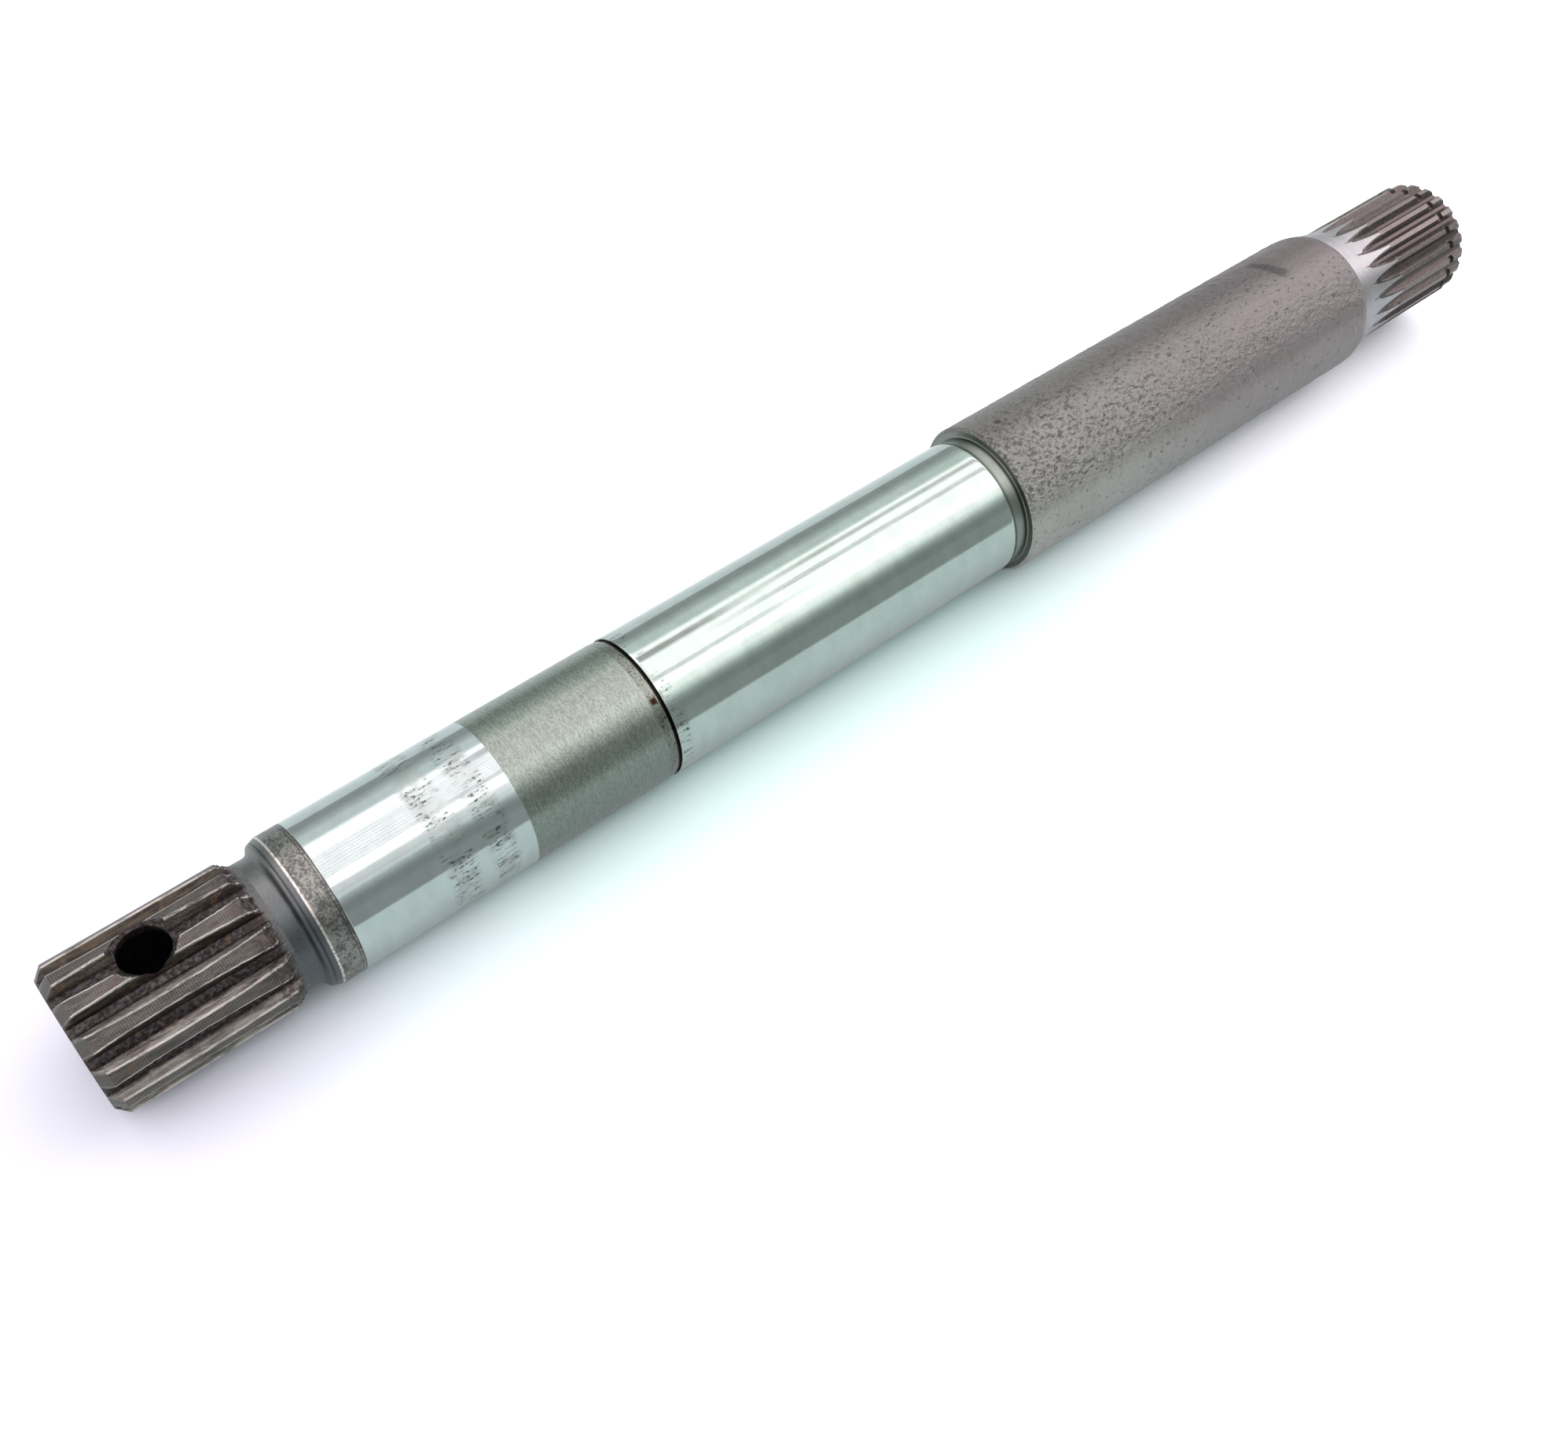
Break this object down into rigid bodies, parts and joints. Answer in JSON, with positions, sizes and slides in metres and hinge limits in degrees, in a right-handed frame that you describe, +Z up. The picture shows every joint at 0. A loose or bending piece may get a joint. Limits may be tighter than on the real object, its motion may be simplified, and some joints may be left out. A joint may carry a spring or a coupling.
{
  "type": "splined shaft",
  "caption": "One-piece steel drive shaft with a coarse spline and cross hole at one end, ground journals, a raw forged body and a fine spline at the other.",
  "frame": {"origin": "on the surface the shaft lies on, under the middle of its length", "axes": "+X along the shaft, from the coarse spline to the fine spline; +Z up, along the cross hole"},
  "size_m": [0.3104, 0.0292, 0.0292],
  "materials": {
    "shaft_steel": "ground journals, brushed and oxidised stretches, raw forged body"
  },
  "bodies": {
    "root": {"splined_shaft": "shaft_steel"}
  },
  "joints": []
}
